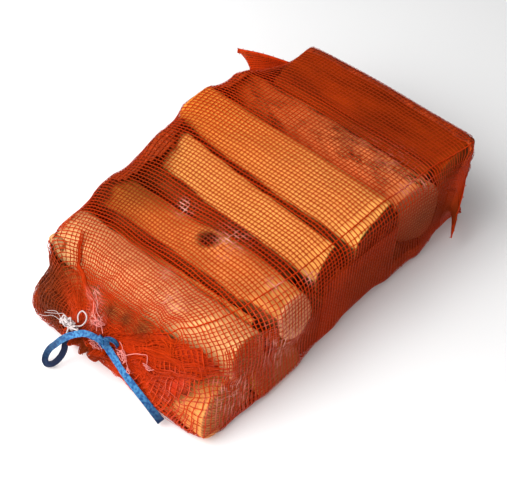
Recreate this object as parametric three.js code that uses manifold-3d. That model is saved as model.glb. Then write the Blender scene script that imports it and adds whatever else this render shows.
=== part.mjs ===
// Net of firewood: split logs in an open-mesh sack that lies on its side, tied at the mouth with a flat tape.
// X runs along the logs, +Y from the tied mouth to the sewn bottom of the sack, +Z up. Millimetres.
// The origin is the middle of the sack's footprint, on the surface that it lies on.
import * as THREE from "three";
import { mergeVertices } from "three/addons/utils/BufferGeometryUtils.js";
import Module from "manifold-3d";

const wasm = await Module();
wasm.setup();

// The upper layer of logs, from the mouth to the bottom of the sack. The net follows their crowns and ends.
// y: middle of the log, half: half its width, top: its crown, left and right: the sides of the net at it,
// leftLow: the left side at the floor, rightTop: the right side at the crown,
// skew: how much further along Y its right end lies than its left end.
const LOG_LENGTH = 250;
const LOGS = [
  { y: -156, half: 31, top: 98, left: -130, leftLow: -112, right: 161, rightTop: 143, skew: 12 },
  { y: -84, half: 37, top: 108, left: -133, leftLow: -124, right: 164, rightTop: 149, skew: 2 },
  { y: -10, half: 35, top: 117, left: -138, leftLow: -132, right: 156, rightTop: 145, skew: -18 },
  { y: 63, half: 42, top: 122, left: -143, leftLow: -136, right: 154, rightTop: 157, skew: -20 },
  { y: 139, half: 33, top: 121, left: -140, leftLow: -130, right: 167, rightTop: 161, skew: -8 },
  { y: 210, half: 80, top: 127, left: -97, leftLow: -94, right: 151, rightTop: 158, skew: 0 },
];
const CROWN_DROP = 13;
const NET_SAG = 5;

// The sack's body between its two ends.
const BODY_FRONT = -183;
const BODY_BACK = 240;
const CORNER_RADIUS = 8;
const FRONT_LEAN = 43;
const FRONT_LEAN_FROM = 40;
const FRONT_LEAN_TO = 95;
const FRONT_NARROW_LEFT = 13;
const FRONT_NARROW_RIGHT = 17;
const FRONT_NARROW_LENGTH = 45;
const LAYER_HEIGHT = 62;
const LAYER_GROOVE = 5;
const LAYER_GROOVE_WIDTH = 14;
const GROOVE_SHARPNESS = 8;

// The gathered mouth: a flat neck under the tape, and the short ruffle beyond it.
const NECK = new THREE.Vector3(-11, -222, 51);
const NECK_HALF_WIDTH = 19;
const NECK_HALF_HEIGHT = 8;
const RUFFLE = new THREE.Vector3(-14, -240, 42);
const RUFFLE_HALF_WIDTH = 22;
const RUFFLE_HALF_HEIGHT = 12;
const RUFFLE_WAVE = 3;
const PLEATS = 11;
const PLEAT_DEPTH = 4;
const GATHER_BULGE = 2;

// The sewn bottom: the net closes over the last log to a level seam, with a loose ear at each corner.
const SEAM_Y = 242;
const SEAM_Z = 72;
const SEAM_HALF_THICKNESS = 1.5;
const EAR_THICKNESS = 3;
const LEFT_EAR = [
  new THREE.Vector3(-92, 234, 78),
  new THREE.Vector3(-191, 203, 88),
  new THREE.Vector3(-172, 196, 58),
  new THREE.Vector3(-118, 150, 40),
];
const RIGHT_EAR = [
  new THREE.Vector3(150, 232, 112),
  new THREE.Vector3(191, 172, 38),
  new THREE.Vector3(168, 186, 50),
  new THREE.Vector3(150, 200, 62),
];

// Facets.
const AROUND = 66;
const BODY_RINGS = 46;
const GATHER_RINGS = 9;
const RUFFLE_RINGS = 3;
const BACK_RINGS = 6;
const RING_START = -0.75 * Math.PI;

// The tape: its routes are centrelines from the knot outwards.
const TAPE_WIDTH = 8;
const TAPE_THICKNESS = 1.4;
const TAPE_FLAT = 0.8;
const KNOT = new THREE.Vector3(16, -231, 63);
const KNOT_SIZE = new THREE.Vector3(12, 9, 11);
const LOOP_ROUTE = [
  [8, -234, 65],
  [-7, -238, 66],
  [-20, -244, 59],
  [-32, -251, 45],
  [-43, -257, 27],
  [-52, -261, 12],
  [-54, -265, 6],
  [-49, -268, 5],
  [-42, -265, 8],
  [-37, -259, 15],
  [-36, -252, 24],
  [-38, -245, 33],
  [-41, -238, 39],
].map((p) => new THREE.Vector3(...p));
const TAIL_ROUTE = [
  [23, -231, 57],
  [30, -232, 50],
  [43, -234, 40],
  [62, -236, 29],
  [82, -237, 19],
  [103, -238, 9],
].map((p) => new THREE.Vector3(...p));
const LOOP_FACING = new THREE.Vector3(0.62, -0.45, 0.64);
const TAIL_FACING = new THREE.Vector3(0.1, -0.9, 0.42);
const LOOP_STEPS = 36;
const TAIL_STEPS = 16;

// Finishes.
const netRed = new THREE.MeshStandardMaterial({ color: 0xd8551c, roughness: 0.5, metalness: 0 });
const tapeBlue = new THREE.MeshStandardMaterial({ color: 0x2f76c0, roughness: 0.45, metalness: 0 });

// A value of the log table at any y, in even steps from one log to the next.
function tableAt(y, key) {
  const next = LOGS.findIndex((log) => log.y > y);
  if (next === 0) return LOGS[0][key];
  if (next < 0) return LOGS[LOGS.length - 1][key];
  const [a, b] = [LOGS[next - 1], LOGS[next]];
  return THREE.MathUtils.mapLinear(y, a.y, b.y, a[key], b[key]);
}

// The height of the net at y: each log is a low crown, and the net sags from one to the next.
function topAt(y) {
  const sum = LOGS.reduce((total, log) => {
    const crown = log.top - CROWN_DROP * ((y - log.y) / log.half) ** 2;
    return total + Math.exp(crown / NET_SAG);
  }, 0);
  return NET_SAG * Math.log(sum);
}

// One ring of the body: a rounded box outline, moved along Y by the logs' skew and by the lean of the front.
function bodyRing(y) {
  const narrow = 1 - THREE.MathUtils.smoothstep(y, BODY_FRONT, BODY_FRONT + FRONT_NARROW_LENGTH);
  const left = tableAt(y, "left") + FRONT_NARROW_LEFT * narrow;
  const right = tableAt(y, "right") - FRONT_NARROW_RIGHT * narrow;
  const slope = tableAt(y, "rightTop") - tableAt(y, "right");
  const undercut = tableAt(y, "leftLow") - tableAt(y, "left");
  const top = topAt(y);
  const r = CORNER_RADIUS;
  const outline = new THREE.Path();
  outline.moveTo(left + r, 0);
  outline.lineTo(right - r, 0);
  outline.absarc(right - r, r, r, -Math.PI / 2, 0);
  outline.lineTo(right, top - r);
  outline.absarc(right - r, top - r, r, 0, Math.PI / 2);
  outline.lineTo(left + r, top);
  outline.absarc(left + r, top - r, r, Math.PI / 2, Math.PI);
  outline.lineTo(left, r);
  outline.absarc(left + r, r, r, Math.PI, Math.PI * 1.5);
  const middle = (left + right) / 2;
  const skew = tableAt(y, "skew") / LOG_LENGTH;
  const lean = FRONT_LEAN * (1 - THREE.MathUtils.smoothstep(y, BODY_FRONT, LOGS[1].y));
  return outline.getSpacedPoints(AROUND).slice(0, AROUND).map(({ x, y: z }) => {
    const side = Math.abs(x - middle) / (right - middle);
    const waist = Math.exp(-(((z - LAYER_HEIGHT) / LAYER_GROOVE_WIDTH) ** 2));
    const groove = LAYER_GROOVE * side ** GROOVE_SHARPNESS * waist;
    const forward = lean * (1 - THREE.MathUtils.smoothstep(z, FRONT_LEAN_FROM, FRONT_LEAN_TO));
    const turn = skew * (x - middle) * (z / top);
    const out = (x - middle) / (right - middle);
    const tilt = slope * (z / top) * Math.max(0, out) + undercut * (1 - z / top) * Math.max(0, -out);
    return new THREE.Vector3(x + tilt - Math.sign(x - middle) * groove, y + turn - forward, z);
  });
}

// A flat oval ring of the mouth, its points in step with the body's rings.
function ovalRing(centre, halfWidth, halfHeight, wave) {
  return Array.from({ length: AROUND }, (_, k) => {
    const angle = RING_START + (2 * Math.PI * k) / AROUND;
    const out = 1 + wave * Math.cos((2 * Math.PI * PLEATS * k) / AROUND);
    return new THREE.Vector3(
      centre.x + halfWidth * out * Math.cos(angle),
      centre.y,
      centre.z + halfHeight * out * Math.sin(angle),
    );
  });
}

// The front: rings that draw in from the body to the neck, in pleats that deepen towards it.
function gatherRings(front, neck) {
  return Array.from({ length: GATHER_RINGS }, (_, row) => {
    const t = 1 - (row + 0.5) / GATHER_RINGS;
    return front.map((p, k) => {
      const point = p.clone().lerp(neck[k], t);
      const fold = (1 - Math.cos((2 * Math.PI * PLEATS * k) / AROUND)) / 2;
      point.y += (PLEAT_DEPTH * fold * t - GATHER_BULGE) * Math.sin(Math.PI * t);
      point.z = Math.max(point.z, 0);
      return point;
    });
  });
}

// The back: rings that close over the last log to the seam.
function backRings(back) {
  return Array.from({ length: BACK_RINGS }, (_, row) => {
    const t = (row + 1) / BACK_RINGS;
    return back.map((p) => {
      const squeeze = THREE.MathUtils.lerp(1, SEAM_HALF_THICKNESS / SEAM_Z, t);
      return new THREE.Vector3(
        p.x,
        THREE.MathUtils.lerp(p.y, SEAM_Y, Math.sin((t * Math.PI) / 2)),
        SEAM_Z + (p.z - SEAM_Z) * squeeze,
      );
    });
  });
}

// A closed skin through rings that all have the same number of points, with a fan over each end ring.
function loft(rings) {
  const count = rings[0].length;
  const centreOf = (ring) => ring.reduce((sum, p) => sum.add(p), new THREE.Vector3()).divideScalar(count);
  const points = [...rings.flat(), centreOf(rings[0]), centreOf(rings[rings.length - 1])];
  const [startFan, endFan] = [points.length - 2, points.length - 1];
  const index = [];
  for (let k = 0; k < count; k++) {
    const n = (k + 1) % count;
    index.push(startFan, k, n);
    for (let row = 0; row + 1 < rings.length; row++) {
      const [a, b] = [row * count, (row + 1) * count];
      index.push(a + k, b + k, b + n);
      index.push(a + k, b + n, a + n);
    }
    const last = (rings.length - 1) * count;
    index.push(endFan, last + n, last + k);
  }
  const geometry = new THREE.BufferGeometry().setFromPoints(points);
  geometry.setIndex(index);
  return geometry;
}

// A corner ear: a thin flat flap through its seam root, tip, outer corner and side root.
function ear([root, tip, corner, side]) {
  const along = tip.clone().sub(root).normalize();
  const normal = along.clone().cross(side.clone().sub(root)).normalize();
  const across = normal.clone().cross(along);
  const flat = [root, tip, corner, side].map((p) => {
    const offset = p.clone().sub(root);
    return new THREE.Vector2(offset.dot(along), offset.dot(across));
  });
  const outline = new THREE.Shape(flat);
  const flap = new THREE.ExtrudeGeometry(outline, { depth: EAR_THICKNESS, bevelEnabled: false });
  flap.translate(0, 0, -EAR_THICKNESS / 2);
  flap.applyMatrix4(new THREE.Matrix4().makeBasis(along, across, normal).setPosition(root));
  return flap;
}

function toSolid(geometry) {
  const bare = geometry.clone();
  bare.deleteAttribute("normal");
  bare.deleteAttribute("uv");
  const merged = mergeVertices(bare, 1e-3);
  return new wasm.Manifold(
    new wasm.Mesh({
      numProp: 3,
      vertProperties: new Float32Array(merged.attributes.position.array),
      triVerts: new Uint32Array(merged.index.array),
    }),
  );
}

function fromSolid(solid) {
  const mesh = solid.getMesh();
  const geometry = new THREE.BufferGeometry();
  geometry.setAttribute("position", new THREE.BufferAttribute(mesh.vertProperties, 3));
  geometry.setIndex(new THREE.BufferAttribute(mesh.triVerts, 1));
  return geometry;
}

function netBag() {
  const neck = ovalRing(NECK, NECK_HALF_WIDTH, NECK_HALF_HEIGHT, 0);
  const ruffleEnd = ovalRing(RUFFLE, RUFFLE_HALF_WIDTH, RUFFLE_HALF_HEIGHT, RUFFLE_WAVE / RUFFLE_HALF_WIDTH);
  const ruffle = Array.from({ length: RUFFLE_RINGS }, (_, row) =>
    ruffleEnd.map((p, k) => p.clone().lerp(neck[k], row / RUFFLE_RINGS)),
  );
  const body = Array.from({ length: BODY_RINGS }, (_, row) =>
    bodyRing(THREE.MathUtils.lerp(BODY_FRONT, BODY_BACK, row / (BODY_RINGS - 1))),
  );
  const gather = gatherRings(body[0], neck);
  const back = backRings(body[BODY_RINGS - 1]);
  const sack = toSolid(loft([...ruffle, neck, ...gather, ...body, ...back]));
  return fromSolid(sack.add(toSolid(ear(LEFT_EAR))).add(toSolid(ear(RIGHT_EAR))));
}

// A flat tape along a route, its broad side facing the given direction as far as the route allows.
function tape(route, steps, facing) {
  const path = new THREE.CatmullRomCurve3(route, false, "centripetal");
  const rings = Array.from({ length: steps + 1 }, (_, k) => {
    const point = path.getPointAt(k / steps);
    const tangent = path.getTangentAt(k / steps);
    const across = facing.clone().cross(tangent).normalize();
    const normal = tangent.clone().cross(across);
    const [w, t] = [TAPE_WIDTH / 2, TAPE_THICKNESS / 2];
    const flat = w * TAPE_FLAT;
    const section = [[-w, 0], [-flat, t], [flat, t], [w, 0], [flat, -t], [-flat, -t]];
    return section.map(([a, n]) => point.clone().addScaledVector(across, a).addScaledVector(normal, n));
  });
  return loft(rings);
}

function knot() {
  const lump = new THREE.IcosahedronGeometry(0.5, 2);
  lump.scale(KNOT_SIZE.x, KNOT_SIZE.y, KNOT_SIZE.z);
  return lump.translate(KNOT.x, KNOT.y, KNOT.z);
}

function named(name, geometry, material) {
  const mesh = new THREE.Mesh(geometry, material);
  mesh.name = name;
  return mesh;
}

const firewoodNet = new THREE.Group();
firewoodNet.add(
  named("net_bag", netBag(), netRed),
  named("tape_knot", knot(), tapeBlue),
  named("tape_loop", tape(LOOP_ROUTE, LOOP_STEPS, LOOP_FACING), tapeBlue),
  named("tape_tail", tape(TAIL_ROUTE, TAIL_STEPS, TAIL_FACING), tapeBlue),
);

export default firewoodNet;
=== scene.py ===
import math

import bpy
import numpy as np
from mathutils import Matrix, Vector, noise
from mathutils.bvhtree import BVHTree


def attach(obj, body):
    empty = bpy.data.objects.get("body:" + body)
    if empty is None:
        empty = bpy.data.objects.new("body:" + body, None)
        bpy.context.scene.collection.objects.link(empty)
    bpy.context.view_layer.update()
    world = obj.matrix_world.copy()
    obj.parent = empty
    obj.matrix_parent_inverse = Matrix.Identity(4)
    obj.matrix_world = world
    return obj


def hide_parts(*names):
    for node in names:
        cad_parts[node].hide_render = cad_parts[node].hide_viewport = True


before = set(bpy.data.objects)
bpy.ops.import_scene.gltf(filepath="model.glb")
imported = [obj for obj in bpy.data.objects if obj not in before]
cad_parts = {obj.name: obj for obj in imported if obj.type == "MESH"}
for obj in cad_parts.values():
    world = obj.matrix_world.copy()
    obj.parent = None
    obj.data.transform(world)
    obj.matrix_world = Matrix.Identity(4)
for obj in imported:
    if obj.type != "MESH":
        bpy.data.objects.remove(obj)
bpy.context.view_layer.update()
scene = bpy.context.scene
scene.view_settings.view_transform = "Standard"
mm = 0.001  # lengths in the dictionaries are millimetres
rng = np.random.default_rng(11)
noise.seed_set(11)  # vector noise would start from the clock otherwise


def srgb(red, green, blue):
    def linear(value):
        value /= 255
        return value / 12.92 if value <= 0.04045 else ((value + 0.055) / 1.055) ** 2.4
    return linear(red), linear(green), linear(blue), 1.0


cameraSpec = dict(azimuth=42, elevation=48, distance=1250, target=(57, -41, 100), lens=80.24)


def makeCamera(spec):
    turn = math.radians(spec["azimuth"])
    rise = math.radians(spec["elevation"])
    back = Vector((math.sin(turn) * math.cos(rise), -math.cos(turn) * math.cos(rise), math.sin(rise)))
    data = bpy.data.cameras.new("camera")
    data.lens = spec["lens"]
    camera = bpy.data.objects.new("camera", data)
    camera.location = (Vector(spec["target"]) + back * spec["distance"]) * mm
    camera.rotation_mode = "QUATERNION"
    camera.rotation_quaternion = (-back).to_track_quat("-Z", "Y")
    scene.collection.objects.link(camera)
    scene.camera = camera


makeCamera(cameraSpec)
print("camera placed")


class Wire:  # a node socket that sums and products can be written with
    def __init__(self, owner, socket):
        self.owner = owner
        self.socket = socket

    def maths(self, operation, first, second=0.0):
        return self.owner.node("ShaderNodeMath", dict(operation=operation), {0: first, 1: second})

    def __add__(self, other):
        return self.maths("ADD", self, other)

    def __radd__(self, other):
        return self.maths("ADD", other, self)

    def __mul__(self, other):
        return self.maths("MULTIPLY", self, other)

    def __rmul__(self, other):
        return self.maths("MULTIPLY", other, self)

    def __pow__(self, other):
        return self.maths("POWER", self, other)

    def __rpow__(self, other):
        return self.maths("POWER", other, self)

    def ripple(self, rate):  # a wave from 0 to 1, rate in radians per metre
        return self.maths("SINE", self * rate) * 0.5 + 0.5


class NodeTree:
    def __init__(self, tree):
        self.tree = tree

    def node(self, kind, settings=(), inputs=(), output=0):
        made = self.tree.nodes.new(kind)
        for name, value in dict(settings).items():
            setattr(made, name, value)
        for name, value in dict(inputs).items():
            self.join(value, made.inputs[name])
        return Wire(self, made.outputs[output]) if made.outputs else None

    def join(self, value, socket):
        if isinstance(value, Wire):
            self.tree.links.new(value.socket, socket)
        else:
            socket.default_value = value

    def vectors(self, operation, first, second, output=0):
        return self.node("ShaderNodeVectorMath", dict(operation=operation), {0: first, 1: second}, output)


class Paint(NodeTree):  # a material, its principled shader and the node kinds used most
    def __init__(self, name, **constants):
        self.material = bpy.data.materials.new(name)
        self.material.use_nodes = True
        NodeTree.__init__(self, self.material.node_tree)
        self.shader = self.tree.nodes["Principled BSDF"]
        for socket, value in constants.items():
            self.shader.inputs[socket.replace("_", " ")].default_value = value

    def drive(self, socket, value):
        self.join(value, self.shader.inputs[socket])

    def attribute(self, name, output=2):  # 0 colour, 1 vector, 2 number
        return self.node("ShaderNodeAttribute", dict(attribute_name=name), output=output)

    def place(self):  # object coordinates
        return self.node("ShaderNodeTexCoord", output=3)

    def noise(self, vector, scale, detail=2.0, rough=0.5):
        inputs = dict(Vector=vector, Scale=scale, Detail=detail, Roughness=rough)
        return self.node("ShaderNodeTexNoise", inputs=inputs)

    def drawnNoise(self, vector, scales, detail=2.0, rough=0.5):  # noise with its own scale along each axis
        return self.noise(self.vectors("MULTIPLY", vector, scales), 1.0, detail, rough)

    def fit(self, value, low, high, toLow=0.0, toHigh=1.0):
        inputs = {0: value, 1: low, 2: high, 3: toLow, 4: toHigh}
        return self.node("ShaderNodeMapRange", dict(interpolation_type="SMOOTHSTEP"), inputs)

    def mix(self, factor, first, second, blend="MIX"):
        settings = dict(data_type="RGBA", blend_type=blend)
        return self.node("ShaderNodeMix", settings, {0: factor, 6: first, 7: second}, 2)

    def bump(self, height, strength, distance):
        inputs = dict(Strength=strength, Distance=distance, Height=height)
        self.drive("Normal", self.node("ShaderNodeBump", inputs=inputs))


woodLook = dict(sheen=0.06, sheenTint=(1.0, 0.75, 0.5, 1.0), ringRate=2100.0, ringWander=0.011,
                lateWood=(0.62, 0.5, 0.38, 1.0), blotchTint=(0.8, 0.64, 0.46, 1.0), knot=(62, 28, 14),
                barkDeep=(66, 30, 14), barkSpeck=(234, 152, 88), checks=(58, 26, 12), relief=0.0012)


def firewoodPaint(look):
    paint = Paint("firewood", Specular_IOR_Level=look["sheen"], Specular_Tint=look["sheenTint"])
    grain = paint.attribute("grain", 1)
    across, deep = (paint.node("ShaderNodeSeparateXYZ", inputs={0: grain}, output=axis) for axis in (1, 2))
    wander = paint.drawnNoise(grain, (5, 26, 26), 3.0)
    blotch = paint.drawnNoise(grain, (7, 22, 22), 3.0)
    fibre = paint.drawnNoise(grain, (9, 420, 420), 4.0, 0.6)
    radius = (across * across + deep * deep) ** 0.5 + wander * look["ringWander"]
    rings = radius.ripple(look["ringRate"])
    split = paint.fit(fibre * 0.7 + rings * 0.3, 0.2, 0.8)
    wood = paint.mix(split * 0.5, paint.attribute("tint", 0), look["lateWood"], "MULTIPLY")
    wood = paint.mix(paint.fit(blotch, 0.5, 0.72) * 0.4, wood, look["blotchTint"], "MULTIPLY")
    wood = paint.mix(paint.attribute("knot"), wood, srgb(*look["knot"]))
    lump = paint.drawnNoise(grain, (28, 75, 75), 5.0, 0.65)
    speck = paint.drawnNoise(grain, (380, 460, 460))
    bark = paint.mix(paint.fit(lump, 0.28, 0.6), srgb(*look["barkDeep"]), paint.attribute("barkTint", 0))
    specked = paint.fit(speck, 0.54, 0.66) * paint.attribute("speck")
    bark = paint.mix(specked, bark, srgb(*look["barkSpeck"]))
    barkMask = paint.attribute("bark")
    checks = paint.drawnNoise(grain, (1, 60, 60), 4.0, 0.7)
    cracked = paint.fit(rings * 0.5 + checks * 0.5, 0.3, 0.7) * 0.4
    sawn = paint.mix(cracked, paint.attribute("endTint", 0), srgb(*look["checks"]))
    side = paint.mix(barkMask, wood, bark)
    paint.drive("Base Color", paint.mix(paint.attribute("sawn"), side, sawn))
    paint.drive("Roughness", 0.62 + fibre * 0.25)
    paint.bump(fibre * 0.4 + rings * 0.2 + lump * barkMask * 1.6, 0.5, look["relief"])
    return paint.material


yarnLook = dict(roughness=0.44, sheen=0.18, sheenTint=(1.0, 0.4, 0.16, 1.0), deep=(176, 34, 3),
                bright=(206, 62, 6), shadowYarn=(98, 38, 12), wearGlintWhite=(255, 196, 178))


def netPaint(look):
    paint = Paint("netYarn", Roughness=look["roughness"], Specular_IOR_Level=look["sheen"],
                  Specular_Tint=look["sheenTint"])
    shift = paint.noise(paint.place(), 21.0, 3.0)
    colour = paint.mix(shift, srgb(*look["deep"]), srgb(*look["bright"]))
    # painted shade: the yarn is darkened where the net lies in shadow or over dark gaps
    colour = paint.mix(paint.attribute("yarnShade"), colour, srgb(*look["shadowYarn"]))
    # the pale attribute whitens the yarn: painted highlights where it glints, and worn white where it rubs
    paint.drive("Base Color", paint.mix(paint.attribute("pale"), colour, srgb(*look["wearGlintWhite"])))
    return paint.material


foldedLook = dict(roughness=0.55, sheen=0.1, shadedHollow=(114, 38, 10), thread=(198, 70, 17), shade=(84, 30, 10),
                  glintDash=(222, 124, 84), ruddy=(186, 38, 5), relief=0.001)


def foldedPaint(look):  # net lying many times double, seen as one mottled cloth; its dark hollows and shade patches are painted shade, its pale dashes partly painted highlights on the threads
    paint = Paint("foldedNet", Roughness=look["roughness"], Specular_IOR_Level=look["sheen"])
    place = paint.place()
    weave = paint.noise(place, 640.0, 3.0)
    patch = paint.noise(place, 45.0, 3.0)
    glintDash = paint.drawnNoise(place, (300, 620, 240))
    # painted shade: dark hollows between the threads, and darker mottled patches where the folds lie in
    # shade
    colour = paint.mix(paint.fit(weave, 0.38, 0.62), srgb(*look["shadedHollow"]), srgb(*look["thread"]))
    colour = paint.mix(paint.fit(patch, 0.42, 0.62) * 0.6, colour, srgb(*look["shade"]))
    # painted highlight: pale dashes on the threads, partly wood showing through
    colour = paint.mix(paint.fit(glintDash, 0.6, 0.7) * 0.35, colour, srgb(*look["glintDash"]))
    paint.drive("Base Color", paint.mix(paint.attribute("ruddy"), colour, srgb(*look["ruddy"])))
    paint.bump(weave, 0.6, look["relief"])
    return paint.material


tapeLook = dict(roughness=0.42, sheen=0.2, ribRate=7000.0, deep=(22, 84, 150), bright=(82, 156, 210),
                groove=(8, 40, 92), tapeShade=(4, 20, 52), relief=0.0005)


def tapePaint(look):
    paint = Paint("wovenTape", Roughness=look["roughness"], Specular_IOR_Level=look["sheen"])
    place = paint.place()
    away = paint.vectors("SUBTRACT", place, paint.attribute("middle", 1))
    ribs = paint.vectors("DOT_PRODUCT", away, paint.attribute("edge", 1), 1).ripple(look["ribRate"])
    # painted highlight: the mottling from deep to bright is partly the tape's own tone and partly painted
    # highlights on its crumples
    shift = paint.fit(paint.noise(place, 360.0, 3.0), 0.34, 0.66)
    colour = paint.mix(shift, srgb(*look["deep"]), srgb(*look["bright"]))
    colour = paint.mix(ribs * 0.3, colour, srgb(*look["groove"]))
    # painted shade: the tape is darkened along its path where it lies in shadow, most on the loop's return
    # strand
    paint.drive("Base Color", paint.mix(paint.attribute("tapeShade"), colour, srgb(*look["tapeShade"])))
    paint.bump(ribs, 0.35, look["relief"])
    return paint.material


woodMaterial = firewoodPaint(woodLook)
netMaterial = netPaint(yarnLook)
foldedMaterial = foldedPaint(foldedLook)
tapeMaterial = tapePaint(tapeLook)
lintMaterial = Paint("lint", Base_Color=srgb(195, 182, 180), Roughness=0.7).material
frayMaterial = Paint("fray", Base_Color=srgb(226, 134, 124), Roughness=0.5).material
print("materials made")


def addMesh(name, points, edges=(), faces=(), attributes=(), material=None):
    kinds = dict(FLOAT="value", FLOAT_VECTOR="vector", FLOAT_COLOR="color")
    mesh = bpy.data.meshes.new(name)
    mesh.from_pydata((np.asarray(points, float) * mm).tolist(), list(edges), list(faces))
    for label, kind, values in attributes:
        layer = mesh.attributes.new(label, kind, "POINT")
        layer.data.foreach_set(kinds[kind], np.ascontiguousarray(values, np.float32).ravel())
    if material:
        mesh.materials.append(material)
    mesh.shade_smooth()
    piece = bpy.data.objects.new(name, mesh)
    scene.collection.objects.link(piece)
    return piece


def enrol(piece, slotName, *nodes):
    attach(piece, "root")
    if nodes:
        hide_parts(*nodes)
    return piece


def sweepTree():  # sweeps an oval section along the edges of a mesh, flat side along the lie attribute
    tree = bpy.data.node_groups.new("sweepYarn", "GeometryNodeTree")
    sockets = dict(Width="NodeSocketFloat", Thickness="NodeSocketFloat", Fullness="NodeSocketFloat",
                   Cup="NodeSocketFloat", Sides="NodeSocketInt", Finish="NodeSocketMaterial")
    tree.interface.new_socket("Geometry", in_out="INPUT", socket_type="NodeSocketGeometry")
    keys = {name: tree.interface.new_socket(name, in_out="INPUT", socket_type=kind).identifier
            for name, kind in sockets.items()}
    tree.interface.new_socket("Geometry", in_out="OUTPUT", socket_type="NodeSocketGeometry")
    build = NodeTree(tree)
    given = {name: build.node("NodeGroupInput", output=name) for name in ("Geometry", *sockets)}
    line = build.node("GeometryNodeMeshToCurve", inputs={0: given["Geometry"]})
    lie = build.node("GeometryNodeInputNamedAttribute", dict(data_type="FLOAT_VECTOR"), dict(Name="lie"))
    line = build.node("GeometryNodeSetCurveNormal", dict(mode="FREE"), dict(Curve=line, Normal=lie))
    size = dict(Resolution=given["Sides"], Radius=0.5)
    ring = build.node("GeometryNodeCurvePrimitiveCircle", inputs=size)
    place = build.node("GeometryNodeInputPosition")
    place = build.vectors("MULTIPLY", place, given["Fullness"])  # a fuller ring is cut square at the sides
    place = build.vectors("MINIMUM", place, (0.5, 0.5, 0.5))
    place = build.vectors("MAXIMUM", place, (-0.5, -0.5, -0.5))
    deep, wide = (build.node("ShaderNodeSeparateXYZ", inputs={0: place}, output=axis) for axis in (0, 1))
    depth = deep * given["Thickness"] + wide * wide * 4.0 * given["Cup"]
    place = build.node("ShaderNodeCombineXYZ", inputs=dict(X=depth, Y=wide * given["Width"], Z=0.0))
    ring = build.node("GeometryNodeSetPosition", inputs=dict(Geometry=ring, Position=place))
    fat = build.node("GeometryNodeInputNamedAttribute", dict(data_type="FLOAT"), dict(Name="fat"))
    inputs = {"Curve": line, "Profile Curve": ring, "Scale": fat, "Fill Caps": True}
    tube = build.node("GeometryNodeCurveToMesh", inputs=inputs)
    tube = build.node("GeometryNodeRealizeInstances", inputs={0: tube})
    tube = build.node("GeometryNodeSetShadeSmooth", inputs={0: tube})
    tube = build.node("GeometryNodeSetMaterial", inputs=dict(Geometry=tube, Material=given["Finish"]))
    build.node("NodeGroupOutput", inputs={0: tube})
    return tree, keys


yarnTree, yarnKeys = sweepTree()


def sweep(piece, width, thickness, sides, finish, fullness=1.0, cup=0.0):
    modifier = piece.modifiers.new("sweep", "NODES")
    modifier.node_group = yarnTree
    chosen = dict(Width=width * mm, Thickness=thickness * mm, Fullness=fullness, Cup=cup * mm,
                  Sides=sides, Finish=finish)
    for name, value in chosen.items():
        modifier[yarnKeys[name]] = value
    graph = bpy.context.evaluated_depsgraph_get()
    swept = bpy.data.meshes.new_from_object(piece.evaluated_get(graph), depsgraph=graph)
    swept.name = piece.name
    piece.modifiers.clear()
    piece.data = swept
    return piece


def smoothPath(points, perSpan):  # Catmull-Rom through every point
    given = np.asarray(points, float)
    given = np.vstack([2 * given[0] - given[1], given, 2 * given[-1] - given[-2]])
    step = np.linspace(0, 1, perSpan, endpoint=False)[:, None]
    spans = []
    for a, b, c, d in zip(given, given[1:], given[2:], given[3:]):
        spans.append(0.5 * (2 * b + (c - a) * step + (2 * a - 5 * b + 4 * c - d) * step ** 2
                            + (3 * b - a - 3 * c + d) * step ** 3))
    return np.vstack(spans + [given[-2:-1]])


def unit(vectors):
    return vectors / np.maximum(np.linalg.norm(vectors, axis=-1, keepdims=True), 1e-9)


def pathLength(path):
    return np.linalg.norm(np.diff(path, axis=0), axis=1).sum()


def chain(count, first=0, closed=False):
    links = [(first + i, first + i + 1) for i in range(count - 1)]
    return links + [(first + count - 1, first)] if closed else links


def layYarn(name, lines, width, thickness, sides, finish, extras=()):
    points, lies, fats = (np.concatenate(part) for part in list(zip(*lines))[:3])
    edges = []
    first = 0
    for line in lines:  # a line is its points, lie, fat, and closed or not
        edges += chain(len(line[0]), first, line[3])
        first += len(line[0])
    attributes = [("lie", "FLOAT_VECTOR", lies), ("fat", "FLOAT", fats)]
    attributes += [(label, "FLOAT", make(points)) for label, make in extras]
    return sweep(addMesh(name, points, edges, attributes=attributes), width, thickness, sides, finish)


# the tape leaves the neck under the gathers, makes the free loop, crosses the neck to the knot
# and runs out as the tail; its painted shade and fats are counted in corners along it
tapeSpec = dict(
    width=9.4, thickness=1.1, sides=20, perSpan=8, fullness=1.4, cup=0.9,
    loop=[(-41, -238, 39), (-37, -245, 33), (-34, -252, 24), (-36, -259, 15), (-41, -265, 8),
          (-48, -268, 5), (-53, -265, 8), (-51, -259, 19), (-42, -254, 33), (-32, -249, 47),
          (-20, -243, 58), (-7, -238, 66), (7, -234, 66)],
    tail=[(16, -232, 62), (24, -232, 56), (33, -233, 49), (46, -235, 41), (62, -236, 31), (82, -237, 20),
          (103, -238, 9)],
    loopFacing=(0.62, -0.45, 0.64), tailFacing=(0.3, -0.7, 0.65), twist=0.3, twistRate=1.3,
    tapeShades=[(0, 1.0), (4, 1.0), (6, 0.9), (8, 0.6), (10, 0.05), (12, 0.45), (14, 0.1), (17, 0.15),
          (18, 0.5), (19, 0.95)],
    fats=[(0, 0.8), (4, 0.76), (6, 0.78), (9, 0.84), (12, 0.76), (14, 0.9), (16, 0.82), (18, 0.86),
          (19, 0.98)],
    overFrom=8, tuck=4.0, tuckReach=(5, 9),  # from the corner where it lies over the ruffle
)


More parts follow.
